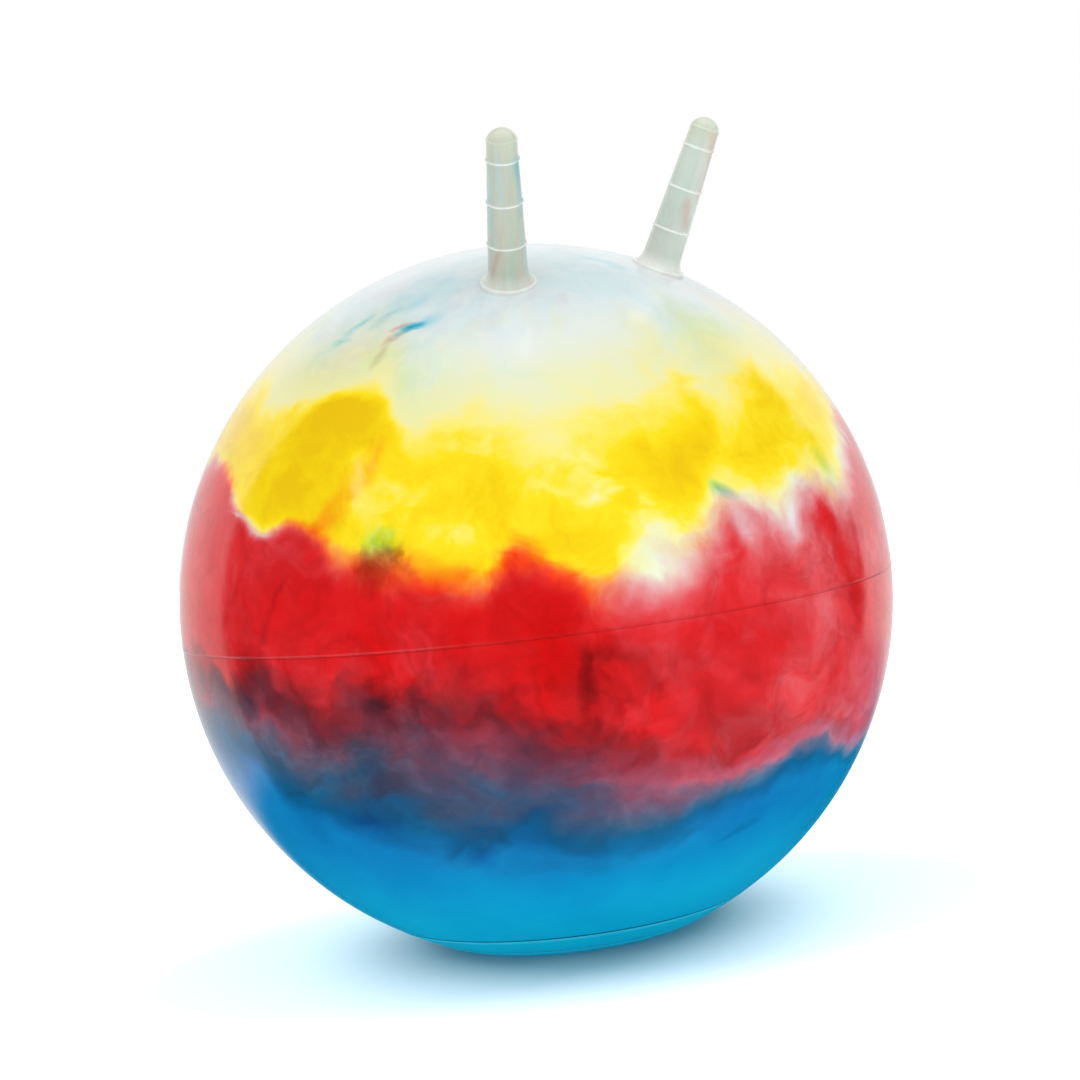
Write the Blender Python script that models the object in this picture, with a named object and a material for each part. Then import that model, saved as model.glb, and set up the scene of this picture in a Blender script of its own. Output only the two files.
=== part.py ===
"""Hopper ball: a hollow moulded ball with two horn handles and a plug valve.

Metres, +Z up. The origin is the middle of the flat base, and the handles lean to the front, which is -Y.
Left and right are the rider's, who sits behind the handles, so the left handle is on the +X side.
"""

import math

import bmesh
import bpy
from mathutils import Matrix, Vector

# Ball: the inflated skin, with the moulding seam round its middle.
BALL_RADIUS = 0.275
SKIN_WALL = 0.0012
SEAM_WIDTH = 0.0016
SEAM_HEIGHT = 0.0005

# Base: a flat in the middle, a land round it and a band round that, each one step proud of the next.
BASE_FLAT_RADIUS = 0.096
BASE_LAND_WIDTH = 0.015
BASE_BAND_WIDTH = 0.030
BASE_STEP = 0.0003

# Handle placing: both handles lie in a plane through the ball's centre that tilts to the front.
HANDLE_TILT_DEG = 24.5
HANDLE_SPREAD_DEG = 14.6
HANDLE_SPLAY_DEG = 12.3

# Handle shape: heights run along the handle's axis from the skin.
HANDLE_LENGTH = 0.1170
HANDLE_WALL = 0.0022
HANDLE_FOOT_RADIUS = 0.0143
HANDLE_TIP_RADIUS = 0.0108
DOME_HEIGHT = 0.0075
FLARE_HEIGHT = 0.0135
RIM_RADIUS = 0.0208
RIM_HEIGHT = 0.0028
RIM_ROUND = 0.0008
ROOT_SEAT_WIDTH = 0.0045
RING_COUNT = 3
RING_WIDTH = 0.0022
RING_HEIGHT = 0.0010
FIRST_RING_HEIGHT = 0.0309
LAST_RING_TO_SHOULDER = 0.0150

# Valve: a sleeve with a flange on each side of the skin, and a plug in it.
VALVE_DROP_DEG = 35.0
VALVE_BORE_RADIUS = 0.0042
SLEEVE_WALL = 0.0026
SLEEVE_DEPTH = 0.0160
FLANGE_RADIUS = 0.0125
FLANGE_THICKNESS = 0.0014
COLLAR_WIDTH = 0.0024
COLLAR_THICKNESS = 0.0018
PLUG_HEAD_RADIUS = 0.0088
PLUG_HEAD_THICKNESS = 0.0024
PLUG_HEAD_DISH = 0.0008
PLUG_LENGTH = 0.0130
PLUG_BARB = 0.0005
PLUG_BARB_COUNT = 2
EDGE_ROUND = 0.0005

# Clearances between pieces that touch on the real object.
SEAT_GAP = 0.0003
SPLIT_GAP = 0.0003
FIT_GAP = 0.0003

# Facets.
SKIN_SEGMENTS = 64
UPPER_BANDS = 14
LOWER_BANDS = 9
BAND_BANDS = 2
HANDLE_SEGMENTS = 28
VALVE_SEGMENTS = 24

# Sizes that follow from the ones above.
BAND_RADIUS = BASE_FLAT_RADIUS + BASE_LAND_WIDTH + BASE_BAND_WIDTH
LAND_RADIUS = BASE_FLAT_RADIUS + BASE_LAND_WIDTH
BAND_POLAR = math.pi - math.asin(BAND_RADIUS / BALL_RADIUS)
LAND_POLAR = math.pi - math.asin(LAND_RADIUS / BALL_RADIUS)
FLAT_POLAR = math.pi - math.asin(BASE_FLAT_RADIUS / (BALL_RADIUS + 2 * BASE_STEP))
CENTRE_HEIGHT = -(BALL_RADIUS + 2 * BASE_STEP) * math.cos(FLAT_POLAR)
CENTRE = Vector((0, 0, CENTRE_HEIGHT))
SHOULDER_HEIGHT = HANDLE_LENGTH - DOME_HEIGHT
RING_PITCH = (SHOULDER_HEIGHT - LAST_RING_TO_SHOULDER - FIRST_RING_HEIGHT) / (RING_COUNT - 1)
GRIP_START = FIRST_RING_HEIGHT - RING_WIDTH
ROOT_TOP = GRIP_START - SPLIT_GAP
ROOT_BORE_RADIUS = RIM_RADIUS - ROOT_SEAT_WIDTH
NECK_RADIUS = VALVE_BORE_RADIUS + SLEEVE_WALL
FLANGE_TOP = SEAT_GAP + FLANGE_THICKNESS
COLLAR_TOP = -2 * SKIN_WALL - SEAT_GAP
PLUG_SHANK_RADIUS = VALVE_BORE_RADIUS - FIT_GAP


def clear_scene():
    """Takes every object out of the startup scene."""
    for obj in list(bpy.data.objects):
        bpy.data.objects.remove(obj)


def material(name, colour, roughness):
    """A plain plastic material."""
    made = bpy.data.materials.new(name)
    made.use_nodes = True
    shader = made.node_tree.nodes["Principled BSDF"]
    shader.inputs["Base Color"].default_value = (*colour, 1)
    shader.inputs["Roughness"].default_value = roughness
    shader.inputs["Metallic"].default_value = 0.0
    return made


def spun(name, section, segments, closed=False):
    """A solid of revolution about its own Z, from a section of (radius, height) points.

    An open section starts and ends on the axis. A closed one is a ring that stays clear of it.
    """
    mesh = bpy.data.meshes.new(name)
    bm = bmesh.new()
    points = [bm.verts.new((radius, 0, height)) for radius, height in section]
    ends = points[1:] + points[:1] if closed else points[1:]
    edges = [bm.edges.new(pair) for pair in zip(points, ends)]
    bmesh.ops.spin(
        bm, geom=points + edges, cent=(0, 0, 0), axis=(0, 0, 1), angle=math.tau, steps=segments, use_merge=True
    )
    bmesh.ops.remove_doubles(bm, verts=bm.verts, dist=1e-6)
    bmesh.ops.recalc_face_normals(bm, faces=bm.faces)
    bm.to_mesh(mesh)
    bm.free()
    mesh.shade_smooth()
    mesh.set_sharp_from_angle(angle=math.radians(40))
    obj = bpy.data.objects.new(name, mesh)
    bpy.context.scene.collection.objects.link(obj)
    return obj


def cutter(name, section, segments):
    """A spun solid that only cuts others."""
    obj = spun(name, section, segments)
    obj.hide_render = True
    obj.display_type = "WIRE"
    return obj


def cut(target, tool):
    """Takes tool's volume out of target."""
    modifier = target.modifiers.new(tool.name, "BOOLEAN")
    modifier.operation = "DIFFERENCE"
    modifier.solver = "EXACT"
    modifier.object = tool


def frame_along(origin, axis, side):
    """A placing with its origin at origin, Z along axis and X as near to side as it can be."""
    x = (side - axis * axis.dot(side)).normalized()
    placed = Matrix((x, axis.cross(x), axis)).transposed().to_4x4()
    placed.translation = origin
    return placed


def arc(radius, start, end, count):
    """Points on the sphere of this radius round the ball's centre, between two polar angles."""
    angles = [start + (end - start) * step / count for step in range(count + 1)]
    return [(radius * math.sin(angle), CENTRE_HEIGHT + radius * math.cos(angle)) for angle in angles]


def plain_section(offset):
    """The ball's half section from top to base, without seam or steps, moved outwards by offset."""
    radius = BALL_RADIUS + offset
    base_polar = math.pi - math.acos((CENTRE_HEIGHT + offset) / radius)
    section = arc(radius, 0, math.pi / 2, UPPER_BANDS)
    section += arc(radius, math.pi / 2, BAND_POLAR, LOWER_BANDS)[1:]
    section += arc(radius, BAND_POLAR, base_polar, BAND_BANDS)[1:]
    return section + [(0, -offset)]


def skin_section():
    """The skin's outer half section: seam bead at the middle, two steps and a flat at the base."""
    seam = SEAM_WIDTH / 2 / BALL_RADIUS
    step = BASE_STEP / BALL_RADIUS
    section = arc(BALL_RADIUS, 0, math.pi / 2 - seam, UPPER_BANDS)
    section += arc(BALL_RADIUS + SEAM_HEIGHT, math.pi / 2 - seam / 2, math.pi / 2 + seam / 2, 1)
    section += arc(BALL_RADIUS, math.pi / 2 + seam, BAND_POLAR, LOWER_BANDS)
    section += arc(BALL_RADIUS + BASE_STEP, BAND_POLAR + step, LAND_POLAR, BAND_BANDS)
    section += arc(BALL_RADIUS + 2 * BASE_STEP, LAND_POLAR + step, FLAT_POLAR, 1)
    return section + [(0, 0)]


def handle_radius(height):
    """The tapered horn's outer radius at a height above the skin."""
    share = (height - FLARE_HEIGHT) / (SHOULDER_HEIGHT - FLARE_HEIGHT)
    return HANDLE_FOOT_RADIUS + (HANDLE_TIP_RADIUS - HANDLE_FOOT_RADIUS) * share


def flare(rim_radius, rim_height, neck_radius, count):
    """A quarter ellipse from a vertical neck at FLARE_HEIGHT down to a flat rim."""
    angles = [math.pi / 2 * step / count for step in range(count + 1)]
    return [
        (
            rim_radius - (rim_radius - neck_radius) * math.cos(angle),
            FLARE_HEIGHT - (FLARE_HEIGHT - rim_height) * math.sin(angle),
        )
        for angle in angles
    ]


def root_section():
    """Closed section of a handle's flared neck. It runs down into the ball, and the seat cutter trims it."""
    low = -RIM_RADIUS
    outer = [(handle_radius(ROOT_TOP), ROOT_TOP)]
    outer += flare(RIM_RADIUS - RIM_ROUND, RIM_HEIGHT, HANDLE_FOOT_RADIUS, 5)
    outer += [(RIM_RADIUS, RIM_HEIGHT - RIM_ROUND), (RIM_RADIUS, low)]
    inner = [(handle_radius(ROOT_TOP) - HANDLE_WALL, ROOT_TOP)]
    inner += flare(ROOT_BORE_RADIUS, 0, HANDLE_FOOT_RADIUS - HANDLE_WALL, 3)
    inner += [(ROOT_BORE_RADIUS, low)]
    return outer + inner[::-1]


def grip_section():
    """Section of a handle's hollow horn: domed tip, tapered wall with half-round rings, open foot."""
    cap_radius = (HANDLE_TIP_RADIUS**2 + DOME_HEIGHT**2) / (2 * DOME_HEIGHT)
    cap_angle = math.asin(HANDLE_TIP_RADIUS / cap_radius)
    outer = []
    for step in range(5):
        angle = cap_angle * step / 4
        outer.append((cap_radius * math.sin(angle), HANDLE_LENGTH - cap_radius * (1 - math.cos(angle))))
    for ring in reversed(range(RING_COUNT)):
        middle = FIRST_RING_HEIGHT + RING_PITCH * ring
        for step in range(5):
            angle = math.pi * step / 4
            height = middle + RING_WIDTH / 2 * math.cos(angle)
            outer.append((handle_radius(height) + RING_HEIGHT * math.sin(angle), height))
    outer.append((handle_radius(GRIP_START), GRIP_START))
    inner = [(handle_radius(GRIP_START) - HANDLE_WALL, GRIP_START)]
    for step in range(4):
        angle = math.pi / 2 * step / 3
        inner.append((
            (HANDLE_TIP_RADIUS - HANDLE_WALL) * max(0.0, math.cos(angle)) if step < 3 else 0.0,
            SHOULDER_HEIGHT + (DOME_HEIGHT - HANDLE_WALL) * math.sin(angle),
        ))
    return outer + inner


def sleeve_section():
    """Closed section of the valve sleeve: flange outside the skin, collar inside it, bore through."""
    return [
        (VALVE_BORE_RADIUS, FLANGE_TOP),
        (FLANGE_RADIUS - EDGE_ROUND, FLANGE_TOP),
        (FLANGE_RADIUS, FLANGE_TOP - EDGE_ROUND),
        (FLANGE_RADIUS, SEAT_GAP),
        (NECK_RADIUS, SEAT_GAP),
        (NECK_RADIUS, COLLAR_TOP),
        (NECK_RADIUS + COLLAR_WIDTH, COLLAR_TOP),
        (NECK_RADIUS + COLLAR_WIDTH, COLLAR_TOP - COLLAR_THICKNESS / 2),
        (NECK_RADIUS, COLLAR_TOP - COLLAR_THICKNESS),
        (NECK_RADIUS, -SLEEVE_DEPTH),
        (VALVE_BORE_RADIUS, -SLEEVE_DEPTH),
    ]


def plug_section():
    """Section of the plug: dished head, barbed shank, tapered end."""
    under = FLANGE_TOP + FIT_GAP
    top = under + PLUG_HEAD_THICKNESS
    core = PLUG_SHANK_RADIUS - PLUG_BARB
    section = [
        (0, top - PLUG_HEAD_DISH),
        (PLUG_HEAD_RADIUS / 2, top - PLUG_HEAD_DISH),
        (PLUG_HEAD_RADIUS / 2 + PLUG_HEAD_DISH, top),
        (PLUG_HEAD_RADIUS - EDGE_ROUND, top),
        (PLUG_HEAD_RADIUS, top - EDGE_ROUND),
        (PLUG_HEAD_RADIUS, under + EDGE_ROUND),
        (PLUG_HEAD_RADIUS - EDGE_ROUND, under),
        (core, under),
    ]
    pitch = (under + PLUG_LENGTH) / (PLUG_BARB_COUNT + 1)
    for barb in range(PLUG_BARB_COUNT):
        height = under - pitch * (barb + 1)
        section += [(core, height), (PLUG_SHANK_RADIUS, height), (core, height - pitch / 2)]
    return section + [(core, -PLUG_LENGTH + core / 2), (core / 2, -PLUG_LENGTH), (0, -PLUG_LENGTH)]


clear_scene()
skin_plastic = material("skin_plastic", (0.62, 0.02, 0.03), 0.2)
handle_plastic = material("handle_plastic", (0.72, 0.79, 0.74), 0.35)
sleeve_plastic = material("sleeve_plastic", (0.78, 0.83, 0.80), 0.4)
plug_plastic = material("plug_plastic", (0.84, 0.86, 0.85), 0.4)

# The skin is spun, then hollowed; the handle bores and the valve hole open the hollow.
skin = spun("ball_skin", skin_section(), SKIN_SEGMENTS)
skin.data.materials.append(skin_plastic)
cut(skin, cutter("cut_hollow", plain_section(-SKIN_WALL), SKIN_SEGMENTS))
seat = cutter("cut_seat", plain_section(SEAT_GAP), SKIN_SEGMENTS)

# Each handle: the root stands on the skin, and the grip hangs on a pivot in the root's neck.
tilt = math.radians(HANDLE_TILT_DEG)
upright = Vector((0, -math.sin(tilt), math.cos(tilt)))
across = Vector((1, 0, 0))
for side, sign in (("left", 1), ("right", -1)):
    spread = math.radians(HANDLE_SPREAD_DEG)
    splay = math.radians(HANDLE_SPLAY_DEG)
    foot = CENTRE + BALL_RADIUS * (sign * math.sin(spread) * across + math.cos(spread) * upright)
    axis = sign * math.sin(splay) * across + math.cos(splay) * upright
    placed = frame_along(foot, axis, across)

    bore = cutter(
        "cut_" + side + "_bore",
        [(0, RIM_RADIUS), (ROOT_BORE_RADIUS, RIM_RADIUS), (ROOT_BORE_RADIUS, -RIM_RADIUS), (0, -RIM_RADIUS)],
        HANDLE_SEGMENTS,
    )
    bore.matrix_world = placed
    cut(skin, bore)

    root = spun(side + "_handle_root", root_section(), HANDLE_SEGMENTS, closed=True)
    root.data.materials.append(handle_plastic)
    root.matrix_world = placed
    cut(root, seat)

    pivot = bpy.data.objects.new(side + "_handle_pivot", None)
    bpy.context.scene.collection.objects.link(pivot)
    pivot.matrix_world = placed @ Matrix.Translation((0, 0, FLARE_HEIGHT))
    grip = spun(side + "_handle_grip", grip_section(), HANDLE_SEGMENTS)
    grip.data.materials.append(handle_plastic)
    grip.parent = pivot
    grip.location = (0, 0, -FLARE_HEIGHT)

# The valve is at the back, below the seam: the sleeve fills its hole, and the plug slides out along its axis.
drop = math.radians(VALVE_DROP_DEG)
outward = Vector((0, math.cos(drop), -math.sin(drop)))
valve = frame_along(CENTRE + BALL_RADIUS * outward, outward, across)

hole_radius = NECK_RADIUS + FIT_GAP
hole = cutter(
    "cut_valve_hole",
    [(0, SLEEVE_DEPTH), (hole_radius, SLEEVE_DEPTH), (hole_radius, -SLEEVE_DEPTH), (0, -SLEEVE_DEPTH)],
    VALVE_SEGMENTS,
)
hole.matrix_world = valve
cut(skin, hole)

sleeve = spun("valve_sleeve", sleeve_section(), VALVE_SEGMENTS, closed=True)
sleeve.data.materials.append(sleeve_plastic)
sleeve.matrix_world = valve
plug = spun("valve_plug", plug_section(), VALVE_SEGMENTS)
plug.data.materials.append(plug_plastic)
plug.matrix_world = valve
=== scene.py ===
import math

import bpy
import numpy as np
from mathutils import Matrix, Vector


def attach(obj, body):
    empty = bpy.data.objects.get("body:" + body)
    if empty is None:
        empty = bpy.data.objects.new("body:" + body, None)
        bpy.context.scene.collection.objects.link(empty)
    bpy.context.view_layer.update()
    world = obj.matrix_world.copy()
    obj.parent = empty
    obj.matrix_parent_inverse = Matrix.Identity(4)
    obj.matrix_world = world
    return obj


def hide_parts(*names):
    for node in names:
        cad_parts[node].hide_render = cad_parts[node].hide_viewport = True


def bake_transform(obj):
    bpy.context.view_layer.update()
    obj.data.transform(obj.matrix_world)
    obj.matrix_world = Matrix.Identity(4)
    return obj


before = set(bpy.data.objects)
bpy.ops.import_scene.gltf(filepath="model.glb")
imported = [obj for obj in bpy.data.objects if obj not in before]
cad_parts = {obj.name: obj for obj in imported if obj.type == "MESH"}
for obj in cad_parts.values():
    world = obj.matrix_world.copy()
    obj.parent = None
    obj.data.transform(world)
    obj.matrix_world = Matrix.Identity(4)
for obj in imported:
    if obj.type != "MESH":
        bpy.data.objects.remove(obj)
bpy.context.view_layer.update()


# Ball skin. The inflated shell that the rider sits on: one rotational moulding of soft, glossy PVC.
# White, yellow, red and blue pastes are poured into the mould one after another, so they lie in level
# bands that have drifted into each other like ink in water. A fine flash line runs round the mould's middle.

ball_radius = 0.275
ball_centre = Vector((0.0, 0.0, 0.25834))
seam_height, seam_reach, seam_waver, seam_flutter = 0.00045, 0.00055, 0.22, 0.10
base_ring_radii = (0.141, 0.111)
base_ring_polars = [math.pi - math.asin(ring_radius / ball_radius) for ring_radius in base_ring_radii]
base_ring_groove, base_ring_groove_reach = 0.0004, 0.0006
base_ring_lip, base_ring_lip_run = 0.0003, 0.0014
base_round = 0.004
valve_drop = math.radians(35)
valve_outward = Vector((0.0, math.cos(valve_drop), -math.sin(valve_drop)))
valve_point = ball_centre + ball_radius * valve_outward
valve_pocket_radius, valve_pocket_edge, valve_pocket_depth, valve_pocket_zone = 0.0119, 0.0024, 0.018, 0.03
pvc_refraction = 1.45


def ease(value, low, high):
    """Rises from 0 at low to 1 at high along 3t^2 - 2t^3."""
    share = np.clip((value - low) / (high - low), 0, 1)
    return share * share * (3 - 2 * share)


def bell(off, reach):
    """Falls away from 1 on either side as e to the power of -(off / reach)^2."""
    return np.exp(-((off / reach) ** 2))


def ball_surface(polar, turn):
    """Points of the skin at a polar angle from the top and a turn from the front towards the rider's left.

    The distance from the centre is the ball's radius, plus a bell-shaped bead at the equator whose height
    wavers along the seam, plus at each base ring a bell-shaped groove and a small step out below it. What
    would pass through the floor is eased flat against it, and the valve's pocket is pressed in along the
    valve's axis.
    """
    along_seam = 1 + seam_waver * np.sin(7 * turn + 1.0) * np.sin(3 * turn) + seam_flutter * np.sin(23 * turn)
    reach = ball_radius + seam_height * along_seam * bell((polar - math.pi / 2) * ball_radius, seam_reach)
    for ring_polar in base_ring_polars:
        past = (polar - ring_polar) * ball_radius
        reach = reach - base_ring_groove * bell(past, base_ring_groove_reach)
        reach = reach + base_ring_lip * ease(past, 0.0, base_ring_lip_run)
    from_axis = reach * np.sin(polar)
    height = reach * np.cos(polar) + ball_centre.z
    blend = np.clip(0.5 + height / (2 * base_round), 0, 1)
    height = height * blend + base_round * blend * (1 - blend)
    points = np.stack([from_axis * np.sin(turn), -from_axis * np.cos(turn), height], -1)
    axis = np.array(valve_outward)
    to_valve = points - np.array(valve_point)
    along_axis = to_valve @ axis
    off_axis = np.linalg.norm(to_valve - along_axis[..., None] * axis, axis=-1)
    pressed = 1 - ease(off_axis, valve_pocket_radius - valve_pocket_edge, valve_pocket_radius)
    sunk = valve_pocket_depth * pressed * (along_axis > -valve_pocket_zone)
    return points - sunk[..., None] * axis


def grid_faces(rows, columns, joined=False):
    """Quads over rows of points that each close on themselves; joined, the last row also meets the first."""
    row, column = np.meshgrid(np.arange(rows if joined else rows - 1), np.arange(columns), indexing="ij")
    below, after = (row + 1) % rows, (column + 1) % columns
    corners = [(row, column), (below, column), (below, after), (row, after)]
    return np.stack([down * columns + along for down, along in corners], -1).reshape(-1, 4).tolist()


def add_piece(name, points, faces):
    """Adds a smooth mesh and its object to the scene."""
    mesh = bpy.data.meshes.new(name)
    mesh.from_pydata(points.reshape(-1, 3).tolist(), [], faces)
    mesh.shade_smooth()
    mesh.update()
    piece = bpy.data.objects.new(name, mesh)
    bpy.context.scene.collection.objects.link(piece)
    return piece


def closed_mesh(name, rings, first, last):
    """A closed skin over a grid of rings, each joined to the next, with a point that closes each end."""
    rows, columns = rings.shape[:2]
    points = np.concatenate([rings.reshape(-1, 3), [first, last]])
    spoke = np.arange(columns)
    beyond = (spoke + 1) % columns
    head = np.stack([np.full(columns, rows * columns), spoke, beyond], -1)
    bottom = (rows - 1) * columns
    tail = np.stack([np.full(columns, rows * columns + 1), bottom + beyond, bottom + spoke], -1)
    return add_piece(name, points, grid_faces(rows, columns) + head.tolist() + tail.tolist())


def fine_near(whole, *places):
    """Steps over a whole range, with closer steps of a given half width and spacing round some places."""
    steps = [whole] + [np.arange(at - half, at + half, gap) for at, half, gap in places]
    return np.unique(np.round(np.concatenate(steps), 6))


# The grid, in radians, is finer at the seam, at the base rings and round the valve: each place has the half
# width of its finer steps and their spacing.
pole_gap, skin_rows = 0.02, 132
skin_polar = fine_near(
    np.linspace(pole_gap, math.pi - pole_gap, skin_rows),
    (math.pi / 2, 0.0080, 0.00055),
    *[(ring_polar, 0.0090, 0.0007) for ring_polar in base_ring_polars],
    (math.pi / 2 + valve_drop, 0.052, 0.0028),
)
skin_turn = fine_near(np.arange(0, 2 * math.pi, math.pi / skin_rows), (math.pi, 0.062, 0.0034))
skin_grid = ball_surface(*np.meshgrid(skin_polar, skin_turn, indexing="ij"))
skin = closed_mesh("marbled_skin", skin_grid, (0, 0, ball_centre.z + ball_radius), (0, 0, 0))


def put(tree, kind, inputs=None, **settings):
    """Adds a node, sets its properties, and fills its inputs with sockets or with plain values."""
    node = tree.nodes.new(kind)
    for name, value in settings.items():
        setattr(node, name, value)
    for key, value in (inputs or {}).items():
        if isinstance(value, bpy.types.NodeSocket):
            tree.links.new(value, node.inputs[key])
        else:
            node.inputs[key].default_value = value
    return node


def sums(tree, operation, *values):
    """One step of arithmetic on plain values."""
    return put(tree, "ShaderNodeMath", dict(enumerate(values)), operation=operation).outputs[0]


def vectors(tree, operation, *values):
    """One step of arithmetic on vectors or colours."""
    node = put(tree, "ShaderNodeVectorMath", dict(enumerate(values)), operation=operation)
    return node.outputs["Value" if operation in ("LENGTH", "DOT_PRODUCT") else "Vector"]


def parted(tree, vector):
    """The X, Y and Z of a vector."""
    return put(tree, "ShaderNodeSeparateXYZ", {0: vector}).outputs


def fade(tree, value, start, end, low=0.0, high=1.0):
    """Eases from low at start to high at end."""
    settings = {"Value": value, "From Min": start, "From Max": end, "To Min": low, "To Max": high}
    return put(tree, "ShaderNodeMapRange", settings, interpolation_type="SMOOTHSTEP").outputs["Result"]


def mixed(tree, kind, share, one, other):
    """One value, vector or colour where the share is 0, and the other where it is 1."""
    one_at, other_at, out_at = {"FLOAT": (2, 3, 0), "VECTOR": (4, 5, 1), "RGBA": (6, 7, 2)}[kind]
    node = put(tree, "ShaderNodeMix", {0: share, one_at: one, other_at: other}, data_type=kind)
    return node.outputs[out_at]


def toned(tree, value, *stops):
    """A colour that a value picks along stops of (value, colour)."""
    node = put(tree, "ShaderNodeValToRGB", {0: value})
    tones = node.color_ramp.elements
    tones.remove(tones[1])
    tones[0].position, tones[0].color = stops[0][0], (*stops[0][1], 1)
    for at, colour in stops[1:]:
        tones.new(at).color = (*colour, 1)
    return node.outputs[0]


def cloudy(tree, vector, pour, scale, detail=5.0, roughness=0.55, distortion=0.0):
    """Soft cloud noise from 0 to 1; pour picks one of many patterns."""
    settings = {"Vector": vector, "W": pour, "Scale": scale, "Detail": detail, "Roughness": roughness}
    settings["Distortion"] = distortion
    return put(tree, "ShaderNodeTexNoise", settings, noise_dimensions="4D").outputs


def billows(tree, *noise):
    """Cloud noise about 0, half up and half down."""
    return sums(tree, "SUBTRACT", cloudy(tree, *noise)["Fac"], 0.5)


def open_group(name, inputs, outputs):
    """Opens a shader node group with named sockets, and returns its tree, its inputs and its outputs."""
    tree = bpy.data.node_groups.new(name, "ShaderNodeTree")
    for label, kind, value in inputs:
        socket = tree.interface.new_socket(label, in_out="INPUT", socket_type="NodeSocket" + kind)
        socket.default_value = value
    for label, kind in outputs:
        tree.interface.new_socket(label, in_out="OUTPUT", socket_type="NodeSocket" + kind)
    return tree, tree.nodes.new("NodeGroupInput").outputs, tree.nodes.new("NodeGroupOutput").inputs


def use(tree, group, **inputs):
    """Places a node group in a material or in another group."""
    return put(tree, "ShaderNodeGroup", inputs, node_tree=group).outputs


# Paste drifts: a place is carried off by soft noise, so that whatever is laid out there curls and frays.
paste_drift, given, made = open_group(
    "paste_drift",
    [
        ("Place", "Vector", (0, 0, 0)),
        ("Pour", "Float", 0.0),
        ("Scale", "Float", 6.0),
        ("Reach", "Float", 0.05),
    ],
    [("Place", "Vector")],
)
carried = cloudy(paste_drift, given["Place"], given["Pour"], given["Scale"], 2.0, 0.5)["Color"]
carried = vectors(paste_drift, "SUBTRACT", carried, (0.5, 0.5, 0.5))
carried_far = put(paste_drift, "ShaderNodeVectorMath", {0: carried}, operation="SCALE")
paste_drift.links.new(given["Reach"], carried_far.inputs["Scale"])
paste_drift.links.new(vectors(paste_drift, "ADD", given["Place"], carried_far.outputs[0]), made["Place"])

# Paste cloud: one soft-edged oval patch. Along and Across point along its axes and shrink as it grows.
paste_cloud, given, made = open_group(
    "paste_cloud",
    [
        ("Place", "Vector", (0, 0, 0)),
        ("Centre", "Vector", (0, 0, 0)),
        ("Along", "Vector", (1, 0, 0)),
        ("Across", "Vector", (0, 1, 0)),
        ("Fray", "Float", 0.0),
    ],
    [("Mask", "Float")],
)
off_centre = vectors(paste_cloud, "SUBTRACT", given["Place"], given["Centre"])
ways = [given[label] for label in ("Along", "Across", "Centre")]
off_ways = [vectors(paste_cloud, "DOT_PRODUCT", off_centre, way) for way in ways]
off_ways = put(paste_cloud, "ShaderNodeCombineXYZ", dict(enumerate(off_ways))).outputs[0]
off_by = sums(paste_cloud, "MULTIPLY_ADD", given["Fray"], 2.6, vectors(paste_cloud, "LENGTH", off_ways))
paste_cloud.links.new(fade(paste_cloud, off_by, 1.0, -0.4, 0.0, 1.3), made["Mask"])

# Paste wisp: thin threads where cloud noise crosses its middle level.
paste_wisp, given, made = open_group(
    "paste_wisp",
    [
        ("Place", "Vector", (0, 0, 0)),
        ("Pour", "Float", 0.0),
        ("Scale", "Float", 5.0),
        ("Thinness", "Float", 6.0),
    ],
    [("Mask", "Float")],
)
thread = billows(paste_wisp, given["Place"], given["Pour"], given["Scale"], 4.0, 0.6, 0.5)
thread = sums(paste_wisp, "MULTIPLY", sums(paste_wisp, "ABSOLUTE", thread), 2.0)
thread = sums(paste_wisp, "SUBTRACT", 1.0, thread)
paste_wisp.links.new(sums(paste_wisp, "POWER", thread, given["Thinness"]), made["Mask"])

# Dye over: red, blue and sooty dyes laid over a ground; on the skin the soot also carries painted shade. Each
# passes its share of the light at an amount of 1.
dye_over, given, made = open_group(
    "dye_over",
    [
        ("Ground", "Color", (1, 1, 1, 1)),
        ("Red", "Float", 0.0),
        ("Blue", "Float", 0.0),
        ("Soot", "Float", 0.0),
        ("Shallow", "Float", 0.0),
    ],
    [("Colour", "Color")],
)
deep_blue, shallow_blue = (0.002, 0.185, 0.455), (0.003, 0.56, 0.77)
red_pass = vectors(dye_over, "POWER", (0.88, 0.010, 0.013), given["Red"])
blue_tone = mixed(dye_over, "VECTOR", given["Shallow"], deep_blue, shallow_blue)
blue_pass = vectors(dye_over, "POWER", blue_tone, given["Blue"])
soot_and_shade_pass = vectors(dye_over, "POWER", (0.26, 0.16, 0.18), given["Soot"])
dyed = given["Ground"]
for dye_pass in (red_pass, blue_pass, soot_and_shade_pass):
    dyed = vectors(dye_over, "MULTIPLY", dyed, dye_pass)
dye_over.links.new(dyed, made["Colour"])

# Moulded grain: the faint unevenness of plastic that has set against a blasted mould wall.
moulded_grain, given, made = open_group(
    "moulded_grain",
    [("Place", "Vector", (0, 0, 0)), ("Fineness", "Float", 900.0), ("Swell", "Float", 30.0)],
    [("Height", "Float"), ("Smear", "Float")],
)
pits = cloudy(moulded_grain, given["Place"], 0.3, given["Fineness"], 2.0, 0.6)["Fac"]
swells = cloudy(moulded_grain, given["Place"], 4.1, given["Swell"], 3.0, 0.5)["Fac"]
moulded_grain.links.new(sums(moulded_grain, "MULTIPLY_ADD", pits, 0.04, swells), made["Height"])
smear = sums(moulded_grain, "MULTIPLY_ADD", pits, 0.4, sums(moulded_grain, "MULTIPLY", swells, 0.6))
moulded_grain.links.new(smear, made["Smear"])


def new_material(name):
    """A node material, with its tree and its Principled shader."""
    material = bpy.data.materials.new(name)
    material.use_nodes = True
    return material, material.node_tree, material.node_tree.nodes["Principled BSDF"]


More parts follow.
